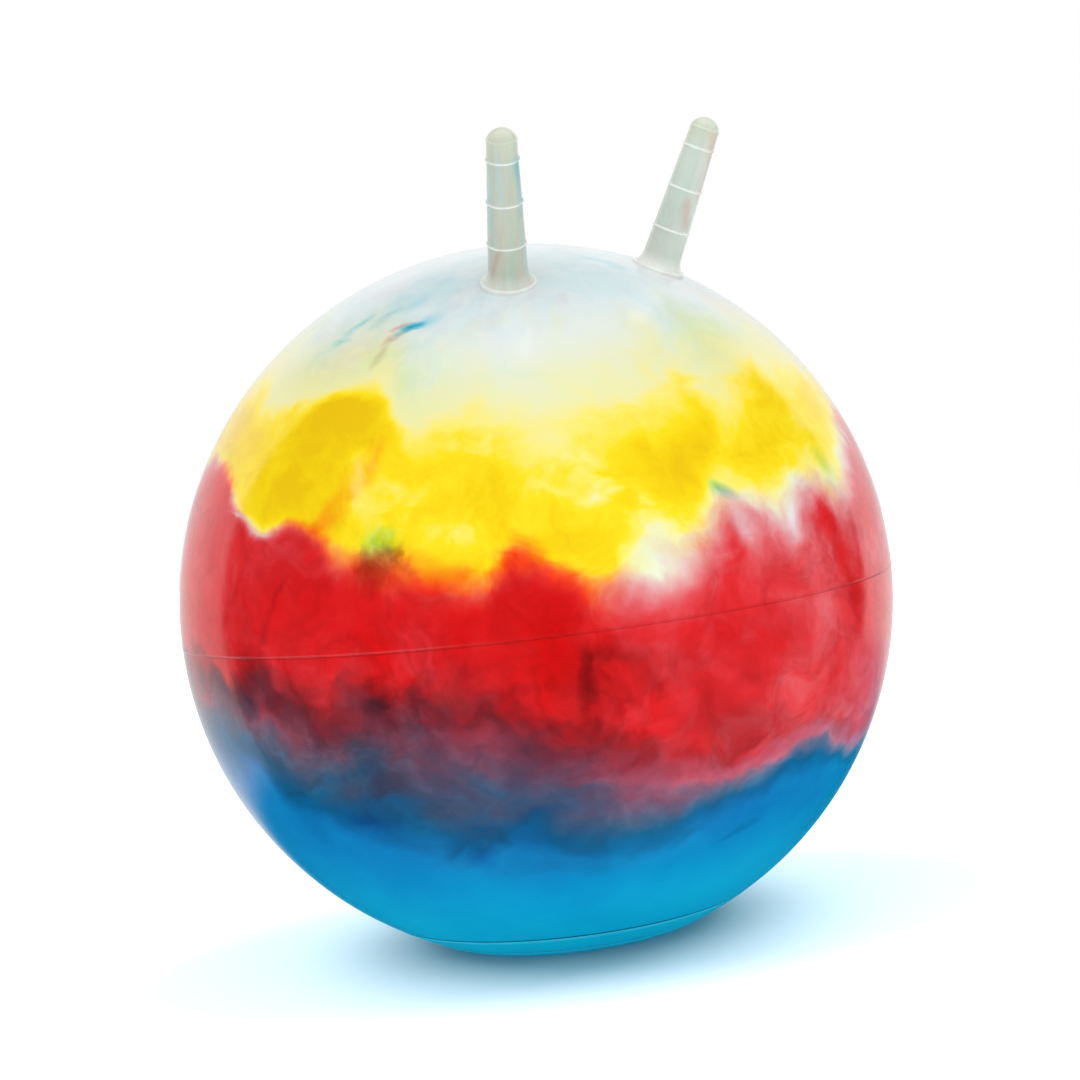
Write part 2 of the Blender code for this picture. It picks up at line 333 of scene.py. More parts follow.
def grained(tree, shader, place, fineness, swell, sleek, dull, strength, distance):
    """Gives a shader the moulded grain: roughness that smears from sleek to dull, and a faint bump."""
    grain = use(tree, moulded_grain, Place=place, Fineness=fineness, Swell=swell)
    tree.links.new(fade(tree, grain["Smear"], 0.3, 0.7, sleek, dull), shader.inputs["Roughness"])
    relief = {"Strength": strength, "Distance": distance, "Height": grain["Height"]}
    tree.links.new(put(tree, "ShaderNodeBump", relief).outputs[0], shader.inputs["Normal"])


skin_plastic, tree, shader = new_material("marbled_pvc")

# Where on the ball: the direction from its centre, carried off by coarse, middling and fine drift.
place = put(tree, "ShaderNodeTexCoord").outputs["Object"]
drifted = vectors(tree, "NORMALIZE", vectors(tree, "SUBTRACT", place, tuple(ball_centre)))
for pour, scale, reach in ((3.1, 6.0, 0.09), (7.7, 15.0, 0.035), (1.9, 40.0, 0.012)):
    drifted = use(tree, paste_drift, Place=drifted, Pour=pour, Scale=scale, Reach=reach)["Place"]
billowed = use(tree, paste_drift, Place=drifted, Pour=5.2, Scale=2.4, Reach=0.25)["Place"]
axes = parted(tree, vectors(tree, "NORMALIZE", drifted))
turned_by = sums(tree, "ARCTAN2", axes["X"], sums(tree, "MULTIPLY", axes["Y"], -1.0))
round_share = sums(tree, "MULTIPLY_ADD", turned_by, 0.5 / math.pi, 0.5)
latitude = sums(tree, "DEGREES", sums(tree, "ARCSINE", axes["Z"]))


def round_the_ball(lowest, highest, *knots):
    """A value that changes smoothly round the ball, through knots of (degrees from the front, value)."""
    node = put(tree, "ShaderNodeFloatCurve", {"Value": round_share})
    curve = node.mapping.curves[0]
    shares = [((turn + 180) / 360, (value - lowest) / (highest - lowest)) for turn, value in knots]
    for share in shares[1:-1]:
        curve.points.new(*share)
    for point, share in zip(curve.points, shares):
        point.location = share
        point.handle_type = "AUTO_CLAMPED"
    node.mapping.update()
    return sums(tree, "MULTIPLY_ADD", node.outputs[0], highest - lowest, lowest)


# The levels where one paste meets the next: latitudes of the crests and dips, in degrees.
yellow_top = round_the_ball(
    -90, 90, (-180, 36), (-156, 29), (-128, 41), (-110, 44), (-97, 42), (-90, 38), (-83, 38), (-70, 40),
    (-63, 40), (-52, 31), (-43, 32), (-35, 28), (-21, 31), (-11, 31), (-5, 32), (0, 29), (14, 35), (20, 32),
    (28, 33), (40, 30), (62, 36), (74, 38), (96, 30), (126, 40), (158, 31), (180, 36),
)
red_top = round_the_ball(
    -90, 90, (-180, 11), (-168, 8), (-146, 18), (-134, 15), (-108, 30), (-97, 27), (-88, 21), (-80, 19),
    (-74, 20), (-64, 14), (-58, 12), (-52, 11), (-44, 8.5), (-37, 12.5), (-31, 9), (-25, 5.5), (-20, 6),
    (-12, 7), (-3, 13), (5, 12), (14, 15), (22, 12), (28, 16), (36, 22), (46, 25), (75, 11), (86, 14),
    (97, 9), (120, 17), (143, 8), (166, 16), (180, 11),
)
red_foot = round_the_ball(
    -90, 90, (-180, -14), (-156, -6), (-132, -12), (-108, -2), (-98, -1), (-89, -6), (-83, -1), (-78, -6),
    (-69, -8), (-65, -4), (-58, -8), (-53, -6), (-46, -8), (-41, -11), (-32, -14), (-25, -17), (-12, -21),
    (-3, -22), (10, -19), (20, -23), (32, -25), (46, -24), (75, -12), (86, -14), (110, -6), (133, -16),
    (157, -7), (180, -14),
)
blue_top = round_the_ball(
    -90, 90, (-180, -29), (-156, -22), (-132, -27), (-108, -13), (-92, -13), (-86, -17), (-78, -20),
    (-62, -23), (-49, -26), (-36, -28), (-25, -31), (-18, -31), (-12, -29), (-3, -28), (10, -25), (18, -26),
    (32, -29), (46, -28), (64, -25), (88, -30), (112, -22), (136, -31), (160, -24), (180, -29),
)

# How many degrees each meeting takes, and how far yellow lies under the red's edge.
yellow_top_soft = round_the_ball(
    0, 12, (-180, 6), (-110, 6), (-85, 4), (-62, 2.4), (-52, 5), (-28, 10), (0, 8), (12, 4), (25, 7),
    (120, 4), (180, 6),
)
red_top_soft = round_the_ball(
    0, 12, (-180, 4), (-110, 2.5), (-78, 1.6), (-66, 4.5), (-50, 6), (-38, 4), (-27, 5), (-16, 8), (5, 6),
    (90, 6), (180, 4),
)
yellow_under_red = round_the_ball(
    0, 2, (-180, 0.6), (-110, 0.2), (-85, 0.2), (-72, 0.9), (-30, 1.0), (-22, 0.3), (-14, 0.0), (40, 0.0),
    (90, 0.8), (180, 0.6),
)

# How thick the red lies, how milky the blue's edge is, and how much blue smokes up into the red.
red_strength = round_the_ball(
    0, 2, (-180, 0.8), (-150, 1.05), (-120, 0.85), (-80, 0.9), (-35, 1.1), (-10, 0.8), (10, 0.72), (30, 0.62),
    (50, 0.66), (80, 0.95), (110, 1.05), (140, 0.75), (180, 0.8),
)
milk_strength = round_the_ball(
    0, 1, (-180, 0.09), (-110, 0.07), (-70, 0.04), (-45, 0.08), (-30, 0.09), (-10, 0.11), (8, 0.14),
    (20, 0.15), (60, 0.2), (100, 0.10), (180, 0.09),
)
smoke_strength = round_the_ball(
    0, 1, (-180, 0.22), (-110, 0.22), (-85, 0.22), (-57, 0.33), (-43, 0.27), (-28, 0.16), (-12, 0.07),
    (20, 0.05), (45, 0.08), (90, 0.2), (180, 0.22),
)

# Cloud noise: billows that thicken and thin each paste, and fraying that ragged edges follow.
yellow_billow = billows(tree, billowed, 2.4, 3.6, 6.0, 0.6, 0.4)
red_billow = billows(tree, billowed, 6.3, 3.2, 7.0, 0.62, 0.5)
blue_billow = billows(tree, billowed, 9.1, 3.0, 5.0, 0.6)
fray = billows(tree, drifted, 8.8, 4.5, 5.0, 0.5, 1.2)
flattened = vectors(tree, "MULTIPLY", drifted, (1.0, 1.0, 2.2))
cross_fray = billows(tree, flattened, 15.4, 3.2, 5.0, 0.5, 0.9)
threads = use(tree, paste_wisp, Place=billowed, Pour=12.6, Scale=4.5, Thinness=9.0)["Mask"]


def patches(*rows):
    """Adds up patches given by degrees from the front, latitude, half length, half width, lean and amount."""
    total = 0.0
    for turn, rise, length, width, lean, amount in rows:
        turn, rise = math.radians(turn), math.radians(rise)
        level = Vector((math.sin(turn), -math.cos(turn), 0))
        outward = math.cos(rise) * level + math.sin(rise) * Vector((0, 0, 1))
        along = Matrix.Rotation(math.radians(lean), 3, outward) @ Vector((math.cos(turn), math.sin(turn), 0))
        across = outward.cross(along) / math.radians(width)
        along = along / math.radians(length)
        patch = use(tree, paste_cloud, Place=drifted, Centre=outward, Along=along, Across=across, Fray=fray)
        total = sums(tree, "MULTIPLY_ADD", patch["Mask"], amount, total)
    return total


# Yellow lies golden where it is thick and lemon or cream where it is thin, with a thin veil above its level.
over_yellow = sums(tree, "SUBTRACT", latitude, yellow_top)
yellow_edge = sums(tree, "MULTIPLY_ADD", fray, 1.9, sums(tree, "DIVIDE", over_yellow, yellow_top_soft))
yellow_body = fade(tree, yellow_edge, 0.7, -1.1)
veil = fade(tree, sums(tree, "MULTIPLY_ADD", yellow_billow, 20.0, over_yellow), 24.0, 0.0, 0.0, 0.29)
yellow = sums(tree, "MULTIPLY_ADD", yellow_billow, 1.8, 0.48)
yellow = sums(tree, "MULTIPLY_ADD", threads, 0.18, yellow)
yellow = sums(tree, "MULTIPLY_ADD", yellow, yellow_body, veil)
yellow = sums(tree, "ADD", yellow, patches(
    (-76, 29, 13, 8, 35, 0.20),
    (-70, 36, 12, 5, -5, 0.20),
    (-64, 36, 8, 5, -40, 0.20),
    (-79, 24, 9, 6, 10, 0.16),
    (-66, 30, 9, 5, 60, 0.14),
    (-1, 25, 17, 9, 5, 0.24),
    (11, 30, 8, 7, -81, 0.2),
    (-25, 24, 12, 9, -68, -0.30),
    (-34, 22, 9, 4, -90, -0.25),
    (-46, 16, 8, 4, -27, -0.2),
    (-16, 12, 12, 6, -17, -0.38),
    (10, 16, 6, 5, 86, -0.5),
    (-24, 15, 9, 7, 80, -0.22),
    (2, 40, 12, 6, 0, 0.10),
    (-36, 53, 6, 2.0, 88, 0.05),
    (-30, 52, 5, 2.0, 95, 0.04),
    (-24, 50, 6, 2.4, 80, 0.05),
    (66, 27, 14, 7, 20, 0.5),
    (100, 22, 10, 5, -30, -0.4),
    (128, 31, 13, 7, 25, 0.5),
    (155, 20, 9, 5, 60, -0.4),
    (-170, 24, 12, 6, -15, 0.5),
    (-148, 25, 8, 5, 70, -0.3),
    (-125, 32, 12, 6, 30, 0.45),
))
over_red = sums(tree, "SUBTRACT", latitude, red_top)
red_edge = sums(tree, "DIVIDE", over_red, red_top_soft)
yellow_foot = sums(tree, "ADD", sums(tree, "MULTIPLY_ADD", cross_fray, 1.6, red_edge), yellow_under_red)
yellow = sums(tree, "MULTIPLY", yellow, fade(tree, yellow_foot, -0.3, 1.7))

# Red is full below its level, milky on the rider's left, and fades out where the blue has risen into it.
red_body = fade(tree, sums(tree, "MULTIPLY_ADD", fray, 1.7, red_edge), 0.8, -1.2)
over_blue = sums(tree, "SUBTRACT", latitude, blue_top)
mixing_depth = sums(tree, "MAXIMUM", sums(tree, "SUBTRACT", red_foot, blue_top), 2.0)
mixing = sums(tree, "MULTIPLY_ADD", cross_fray, 0.9, sums(tree, "DIVIDE", over_blue, mixing_depth))
red_foot_share = fade(tree, mixing, -0.72, 1.25)
red = sums(tree, "MULTIPLY_ADD", red_billow, 1.2, red_strength)
red = sums(tree, "MULTIPLY", sums(tree, "MULTIPLY", red, red_body), red_foot_share)
red = sums(tree, "ADD", red, patches(
    (-60, 53, 2.2, 1.2, 30, 0.20),
    (-20, 55, 5, 2, 80, 0.025),
    (-40, 56, 5, 1, 85, 0.02),
    (-62, 50, 3.5, 1.2, 58, 0.06),
    (-66, 23, 9, 2.2, 55, 0.07),
    (-62, 25, 7, 2.0, 46, 0.05),
    (-59.5, 29, 6, 2.0, 76, 0.05),
    (-68, 19.5, 7, 3.0, 25, 0.12),
    (-94, 25, 10, 3, -29, 0.25),
    (-2, 9, 7, 3, -73, -0.25),
    (8, 11, 6, 3.5, 82, -0.25),
    (-17, 7, 10, 4, -18, -0.22),
    (2, 1, 9, 3, -20, -0.18),
    (16, -19, 16, 5, -26, -0.2),
    (-8, -16, 14, 5, -30, -0.1),
    (-34, -1, 13, 7, -84, 0.3),
    (-45, 0, 13, 6, -11, 0.25),
    (0, -6, 11, 5, 2, 0.25),
    (18, 6, 5, 3, -82, 0.3),
    (21, -2, 8, 4, 85, 0.4),
    (-38, 11, 4, 2, -66, 0.15),
    (-5, 10, 5, 2, 90, 0.35),
    (17, 11, 5, 3, -66, 0.3),
))
red = sums(tree, "MAXIMUM", red, 0.0)

# Blue is full below its level, smokes up through the red, and has left stray drops in the white and yellow.
rising = sums(tree, "MULTIPLY_ADD", fray, 0.5, mixing)
smoke = sums(tree, "MULTIPLY", fade(tree, rising, 1.4, 0.75), smoke_strength)
smoke = sums(tree, "MULTIPLY", smoke, fade(tree, blue_billow, -0.2, 0.2, 0.5, 1.5))
blue_body = sums(tree, "MULTIPLY", fade(tree, rising, 0.60, -0.35), sums(tree, "SUBTRACT", 1.0, smoke))
blue = sums(tree, "ADD", smoke, blue_body)
blue = sums(tree, "MULTIPLY_ADD", sums(tree, "MULTIPLY", blue_billow, blue), 0.6, blue)
blue = sums(tree, "ADD", blue, patches(
    (-57.5, 52.2, 2.8, 1.9, 35, 0.50),
    (-55, 53.5, 4, 2.2, 40, 0.10),
    (-76, 55.5, 7, 1.8, 50, 0.13),
    (-79, 51.5, 4, 1.8, 10, 0.14),
    (-66, 57, 7, 2.0, 40, 0.07),
    (-60, 62, 14, 9, 0, 0.05),
    (8, 66, 8, 2, -68, 0.05),
    (-58.5, 15.5, 6, 3.5, -18, 0.15),
    (-4, 17, 4, 2, -32, 0.16),
    (20, 18, 5, 2, -55, 0.08),
    (-86, -6, 5, 3, 68, 0.12),
    (-79, -7, 5, 3, -19, 0.08),
    (-62, -8, 5, 2, -21, 0.14),
    (-67, -14, 8, 4, -12, 0.18),
    (-69, -26, 9, 3, -16, 0.2),
    (-50, -35, 3, 3, -6, 0.2),
    (92, 50, 8, 2.2, 30, 0.10),
    (150, 54, 9, 1.8, -40, 0.11),
    (-150, 56, 8, 2.2, 60, 0.10),
))
blue = sums(tree, "MAXIMUM", blue, 0.0)

# Soot is the dark of pastes folded into each other; the painted shade lines of the seam and base rings join
# it further on.
folding = sums(tree, "MULTIPLY", fade(tree, mixing, 1.8, 0.9), fade(tree, mixing, -0.1, 0.4))
soot_and_painted_shade = sums(tree, "MULTIPLY", sums(tree, "MULTIPLY", red_body, red_foot_share), 0.14)
soot_and_painted_shade = sums(tree, "MULTIPLY_ADD", folding, 0.11, soot_and_painted_shade)
soot_and_painted_shade = sums(tree, "ADD", sums(tree, "MULTIPLY", soot_and_painted_shade, threads), patches(
    (-58, 12, 7, 4, -8, 0.38),
    (-76, 10, 5, 1, 50, 0.25),
    (-80, 3, 5, 1.3, 71, 0.2),
    (-83, -4, 6, 3, 70, 0.05),
    (-60, 50, 4.0, 1.1, 50, 0.18),
    (-63, 46.5, 3.5, 1.2, 70, 0.11),
    (-85, 5, 14, 12, 90, 0.06),
    (20, -3, 9, 4, 85, 0.12),
    (-30, -8, 9, 1.5, 86, 0.36),
    (-24, -4, 8, 2.0, -17, 0.32),
    (-20, -8, 6, 1.8, -46, 0.25),
    (-29, -10, 11, 7, 70, 0.25),
    (-49, -8, 8, 4, -61, 0.10),
    (-43, -12, 6, 1.6, -48, 0.2),
    (-48, -14, 15, 5, -12, 0.16),
    (-37, -20, 10, 3.5, -10, 0.12),
    (-40, -16, 5, 2, -20, 0.2),
    (-14, -21, 6, 1.2, -30, 0.16),
    (-7, -16, 20, 9, -25, 0.25),
    (-13, -35, 6, 1.6, 40, 0.22),
    (-3, -37, 7, 1.5, 11, 0.2),
    (120, -2, 7, 1.5, 70, 0.15),
    (160, -6, 6, 2, -40, 0.15),
    (-140, -3, 8, 1.5, 80, 0.15),
))

# Whey: threads that run pale blue, pink and grey through the white, and that thin the red.
white_share = fade(tree, yellow_edge, 0.0, 3.0)
whey = use(tree, paste_wisp, Place=billowed, Pour=4.4, Scale=3.2, Thinness=5.0)["Mask"]
pink_whey = fade(tree, cloudy(tree, billowed, 7.9, 2.6, 5.0, 0.6, 0.6)["Fac"], 0.45, 0.75)
red = sums(tree, "MULTIPLY", red, fade(tree, whey, 0.35, 1.0, 1.0, 0.83))
blue = sums(tree, "MULTIPLY_ADD", sums(tree, "MULTIPLY", whey, white_share), 0.028, blue)
red = sums(tree, "MULTIPLY_ADD", sums(tree, "MULTIPLY", pink_whey, white_share), 0.03, red)
soot_and_painted_shade = sums(tree, "MULTIPLY_ADD", sums(tree, "MULTIPLY", threads, white_share), 0.02, soot_and_painted_shade)

# Painted shade and painted highlights: a dark line is painted below the seam's bead and along each base
# ring's groove, and a pale line, a painted highlight, along the bead's top and the rings' lips below. Each
# line has its distance, the side that the painted shade lies on, how dark and how pale it is, and its half
# width.
axes = parted(tree, place)
off_seam = sums(tree, "SUBTRACT", axes["Z"], ball_centre.z)
from_axis = vectors(tree, "LENGTH", vectors(tree, "MULTIPLY", place, (1.0, 1.0, 0.0)))
far_up = fade(tree, axes["Z"], 0.1, 0.2)
off_rings = [sums(tree, "ADD", sums(tree, "SUBTRACT", from_axis, ring), far_up) for ring in base_ring_radii]
# How strong the seam's painted highlight is round the ball.
seam_highlight_share = round_the_ball(
    0, 1, (-180, 0.4), (-105, 0.7), (-60, 0.7), (-42, 0.1), (0, 0.0), (60, 0.3), (120, 0.8), (180, 0.4)
)
painted_shade_lines, painted_highlight_lines = 0.0, 0.0
for off_line, side, dark, pale, wide in (
    (off_seam, -1, 0.22, sums(tree, "MULTIPLY", seam_highlight_share, 0.06), 0.0009),
    (off_rings[0], 1, 0.95, 0.06, 0.0020),
    (off_rings[1], 1, 0.5, 0.03, 0.0016),
):
    off_painted_shade = sums(tree, "ABSOLUTE", sums(tree, "SUBTRACT", off_line, 0.8 * wide * side))
    off_painted_highlight = sums(tree, "ABSOLUTE", sums(tree, "ADD", off_line, 0.8 * wide * side))
    painted_shade_lines = sums(tree, "MULTIPLY_ADD", fade(tree, off_painted_shade, wide, 0.3 * wide), dark, painted_shade_lines)
    painted_highlight_lines = sums(tree, "MULTIPLY_ADD", fade(tree, off_painted_highlight, wide, 0.3 * wide), pale, painted_highlight_lines)
# Painted shade: the dark lines of the seam and base rings join the soot.
soot_and_painted_shade = sums(tree, "ADD", soot_and_painted_shade, painted_shade_lines)

# Milk that has stayed on top: white along a few edges, with the painted highlights laid on the same way, and
# lilac over the meeting of red and blue.
milk_and_painted_highlight = patches(
    (-89, 21, 6, 0.8, -11, 0.5),
    (-81, 19, 6, 0.8, -11, 0.5),
    (-1, 15, 5, 2, -21, 0.25),
    (-2, 10, 6, 3, -69, 0.12),
    (7, 10, 7, 3, 86, 0.12),
)
# The painted highlights of the seam and base rings are laid on with the white milk.
milk_and_painted_highlight = sums(tree, "ADD", milk_and_painted_highlight, painted_highlight_lines)
meeting = sums(tree, "MULTIPLY", fade(tree, mixing, -0.2, 0.3), fade(tree, mixing, 1.2, 0.35))
lilac = sums(tree, "MULTIPLY", meeting, milk_strength)

# The dyes lie over a ground that goes from white through cream and lemon to gold as the yellow thickens.
ground = toned(
    tree,
    sums(tree, "DIVIDE", yellow, 1.25),
    (0.00, (0.79, 0.85, 0.85)),
    (0.16, (0.83, 0.84, 0.52)),
    (0.36, (0.96, 0.82, 0.16)),
    (0.58, (0.98, 0.745, 0.012)),
    (0.78, (0.93, 0.65, 0.001)),
    (1.00, (0.86, 0.55, 0.001)),
)
# The blue turns lighter and greener towards the bottom, and a step lighter again below the first base ring.
shallow = fade(tree, latitude, -30.0, -60.0, 0.0, 0.7)
shallow = sums(tree, "ADD", shallow, fade(tree, off_rings[0], 0.0004, -0.0004, 0.0, 0.35))
poured = use(tree, dye_over, Ground=ground, Red=red, Blue=blue, Soot=soot_and_painted_shade, Shallow=shallow)["Colour"]
# Mixes in the pale milk colour, which also paints the highlights of the seam and base rings.
poured = mixed(tree, "RGBA", milk_and_painted_highlight, poured, (0.80, 0.78, 0.80, 1))
poured = mixed(tree, "RGBA", lilac, poured, (0.53, 0.34, 0.64, 1))
tree.links.new(poured, shader.inputs["Base Color"])
grained(tree, shader, place, 420.0, 16.0, sleek=0.09, dull=0.16, strength=0.10, distance=0.0006)
shader.inputs["IOR"].default_value = pvc_refraction
skin.data.materials.append(skin_plastic)
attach(skin, "ball")
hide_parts("ball_skin")


# Handles. Two hollow horns that the rider holds, moulded in one with the skin from the first, pale paste.
# Each has a flared foot with a rim bead, three raised grip rings and a domed tip.

tilt, spread, splay = math.radians(24.5), math.radians(14.6), math.radians(12.3)
horn_length, horn_foot_radius, horn_tip_radius = 0.1170, 0.0143, 0.0108
dome_height, flare_height = 0.0075, 0.0135
rim_radius, rim_height, rim_round = 0.0204, 0.0014, 0.0007
grip_ring_heights, grip_ring_reach, grip_ring_width = (0.0309, 0.0627, 0.0945), 0.0010, 0.0022
shoulder_height = horn_length - dome_height
ledge_height, foot_sink, foot_depth = 0.0020, 0.0004, 0.0016
wall_step, ring_step, flare_step, horn_columns = 0.0012, 0.00014, 0.0002, 96


def horn_radius(height):
    """The horn's radius at heights along its axis.

    It is a straight taper with a raised half-sine at each grip ring, and swells near the foot along a quarter
    ellipse to the rim.
    """
    share = (height - flare_height) / (shoulder_height - flare_height)
    radius = horn_foot_radius + (horn_tip_radius - horn_foot_radius) * np.clip(share, 0, None)
    for ring in grip_ring_heights:
        across = np.clip((height - ring) / grip_ring_width + 0.5, 0, 1)
        radius = radius + grip_ring_reach * np.sin(math.pi * across) ** 1.3
    down = np.clip((flare_height - height) / (flare_height - rim_height), 0, 1)
    return radius + (rim_radius - rim_round - horn_foot_radius) * (1 - np.sqrt(1 - down**2))


def horn_profile():
    """Radius and height from the tip down: a spherical cap, a small shoulder, the flared wall, the bead."""
    cap = (horn_tip_radius**2 + dome_height**2) / (2 * dome_height)
    angle = np.linspace(0.06, 1, 14) * math.asin(horn_tip_radius / cap)
    dome = np.stack([cap * np.sin(angle), horn_length - cap * (1 - np.cos(angle))], -1)
    ledge = np.array([(0.0002, -0.0003), (0.0003, -0.0008), (0.0002, -0.0013)])
    ledge = ledge + (horn_tip_radius, shoulder_height)
    height = fine_near(
        np.arange(rim_height + 0.0001, shoulder_height - ledge_height, wall_step),
        *[(ring, grip_ring_width * 0.7, ring_step) for ring in grip_ring_heights],
        (rim_height + 0.0015, 0.0014, flare_step),
    )[::-1]
    wall = np.stack([horn_radius(height), height], -1)
    angle = np.linspace(0.15, 1, 7) * math.pi / 2
    bead = rim_round * np.stack([np.sin(angle) - 1, np.cos(angle) - 1], -1) + (rim_radius, rim_height)
    return np.concatenate([dome, ledge, wall, bead])


def horn_points(foot, along, across):
    """The horn's rings about its axis, then two rings that follow the ball's curve and dip under the skin.

    The points come back twice: in the horn's own directions from its foot, and in the scene's.
    """
    third = np.cross(along, across)
    turn = np.arange(0, 2 * math.pi, 2 * math.pi / horn_columns)
    radius, height = np.split(horn_profile(), 2, axis=1)
    local = np.stack([radius * np.cos(turn), radius * np.sin(turn), np.repeat(height, len(turn), 1)], -1)
    ray = np.cos(turn)[:, None] * across + np.sin(turn)[:, None] * third
    start = foot + rim_radius * ray - np.array(ball_centre)
    slope = start @ along
    meets = -slope + np.sqrt(slope**2 - (np.sum(start**2, -1) - ball_radius**2))
    skirt = np.stack([rim_radius * np.cos(turn), rim_radius * np.sin(turn), meets], -1)
    local = np.concatenate([local, [skirt, skirt - (0, 0, foot_sink)]])
    world = foot + local[..., :1] * across + local[..., 1:2] * third + local[..., 2:] * along
    return local, world


def keep_on_points(piece, name, kind, values):
    """Stores a value or a vector at each point of a piece, for its material to read."""
    kept = piece.data.attributes.new(name, kind, "POINT").data
    kept.foreach_set("value" if kind == "FLOAT" else "vector", np.ravel(values))


# Pearly plastic: pale grey-green to grey-blue, drawn out along the horn, paler where painted highlights lie
# and all over the left horn, and creamy at the tip.
horn_plastic, tree, shader = new_material("pearly_pvc")
own_place = put(tree, "ShaderNodeAttribute", attribute_name="horn_place").outputs["Vector"]
highlight_and_pallor = put(tree, "ShaderNodeAttribute", attribute_name="horn_highlight_and_pallor").outputs["Fac"]
dyes = parted(tree, put(tree, "ShaderNodeAttribute", attribute_name="horn_dye").outputs["Vector"])
stretched = vectors(tree, "MULTIPLY", own_place, (1.0, 1.0, 0.16))
trailing = use(tree, paste_drift, Place=stretched, Pour=2.2, Scale=60.0, Reach=0.012)["Place"]
pink = use(tree, paste_wisp, Place=trailing, Pour=0.7, Scale=52.0, Thinness=10.0)["Mask"]
pink = sums(tree, "MULTIPLY_ADD", pink, 0.02, sums(tree, "MULTIPLY", dyes["X"], 0.055))
sky = fade(tree, cloudy(tree, trailing, 6.4, 60.0, 4.0, 0.55)["Fac"], 0.52, 0.75)
sky = sums(tree, "MULTIPLY_ADD", sky, 0.05, sums(tree, "MULTIPLY", dyes["Y"], 0.10))
pearl = toned(
    tree,
    cloudy(tree, trailing, 3.8, 40.0, 4.0, 0.55)["Fac"],
    (0.30, (0.41, 0.52, 0.42)),
    (0.42, (0.47, 0.56, 0.46)),
    (0.50, (0.55, 0.58, 0.47)),
    (0.58, (0.50, 0.60, 0.54)),
    (0.70, (0.46, 0.60, 0.59)),
)
tip = fade(tree, parted(tree, own_place)["Z"], grip_ring_heights[2] - 0.004, shoulder_height, 0.0, 0.5)
# Painted highlights and the left horn's pale cast mix the pearl towards a pale green-white.
pearl = mixed(tree, "RGBA", highlight_and_pallor, pearl, (0.84, 0.90, 0.85, 1))
pearl = mixed(tree, "RGBA", tip, pearl, (0.62, 0.66, 0.47, 1))
pearl = use(tree, dye_over, Ground=pearl, Red=pink, Blue=sky)["Colour"]
tree.links.new(pearl, shader.inputs["Base Color"])
grained(tree, shader, own_place, 1400.0, 60.0, sleek=0.15, dull=0.22, strength=0.2, distance=0.0004)
shader.inputs["IOR"].default_value = pvc_refraction

# Streaks along a horn: pink (0) or sky (1), degrees round it, from and to heights, and half width in radians.
horn_streaks = {
    "left": ((0, -68, 0.055, 0.112, 0.35), (0, -95, 0.030, 0.060, 0.30), (1, 60, 0.020, 0.090, 0.40)),
    "right": ((0, -165, 0.004, 0.034, 0.16), (1, -48, 0.050, 0.100, 0.45), (0, 40, 0.040, 0.100, 0.30)),
}
streak_end, streak_sway, streak_waves = 0.008, 0.25, 90
leftward = Vector((1, 0, 0))
upright = Vector((0, -math.sin(tilt), math.cos(tilt)))
for side, sign in (("left", 1), ("right", -1)):
    foot = ball_centre + ball_radius * (sign * math.sin(spread) * leftward + math.cos(spread) * upright)
    axis = sign * math.sin(splay) * leftward + math.cos(splay) * upright
    across = (leftward - axis * axis.x).normalized()
    local, rings = horn_points(np.array(foot), np.array(axis), np.array(across))
    horn = closed_mesh(side + "_horn", rings, foot + horn_length * axis, foot - foot_depth * axis)
    own = np.concatenate([local.reshape(-1, 3), [(0, 0, horn_length), (0, 0, -foot_depth)]])
    height = own[:, 2]

    # Painted highlights on the grip rings, dome, shoulder and rim, a painted reflection brightening the
    # flared foot, and paler all over on the left horn.
    highlight_and_pallor = sum(bell(height - ring, 0.0009) for ring in grip_ring_heights)
    highlight_and_pallor = highlight_and_pallor + 0.75 * ease(height, shoulder_height, horn_length)
    highlight_and_pallor = highlight_and_pallor + 0.5 * bell(height - shoulder_height, 0.0006)
    highlight_and_pallor = highlight_and_pallor + 0.45 * ease(-height, -0.014, -0.002)
    highlight_and_pallor = highlight_and_pallor + 0.8 * ease(-height, -rim_height - 0.0006, 0.0002 - rim_height)
    highlight_and_pallor = highlight_and_pallor + 0.42 * (side == "left")
    keep_on_points(horn, "horn_highlight_and_pallor", "FLOAT", np.clip(highlight_and_pallor, 0, 1))

    turn = np.arctan2(own[:, 1], own[:, 0])
    dye = np.zeros_like(own)
    for column, middle, low, high, width in horn_streaks[side]:
        sway = turn - np.radians(middle) - streak_sway * np.sin(streak_waves * height + middle)
        sway = (sway + math.pi) % (2 * math.pi) - math.pi
        reach = ease(height, low, low + streak_end) * ease(-height, -high, streak_end - high)
        dye[:, column] += reach * bell(sway, width)
    keep_on_points(horn, "horn_dye", "FLOAT_VECTOR", dye)
    keep_on_points(horn, "horn_place", "FLOAT_VECTOR", own + (0.5 * (side == "right"), 0, 0))
    horn.data.materials.append(horn_plastic)
    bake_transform(horn)
    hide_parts(side + "_handle_root", side + "_handle_grip")


# Valve sleeve. The grommet at the back that the ball is filled through: soft moulded plastic.
# Its flange lies on the skin, and its neck and collar hold it in the skin's hole.

sleeve_bore, sleeve_neck, sleeve_depth = 0.0042, 0.0068, 0.0160
flange_radius, flange_under, flange_top, flange_fall = 0.0125, 0.0003, 0.0017, 0.0003
groove_radius, groove_half, groove_depth = 0.0092, 0.0004, 0.0002
collar_radius, collar_top, collar_band = 0.0092, -0.0027, 0.0009
edge_round, edge_most, edge_steps, valve_columns = 0.0005, 0.45, 5, 72


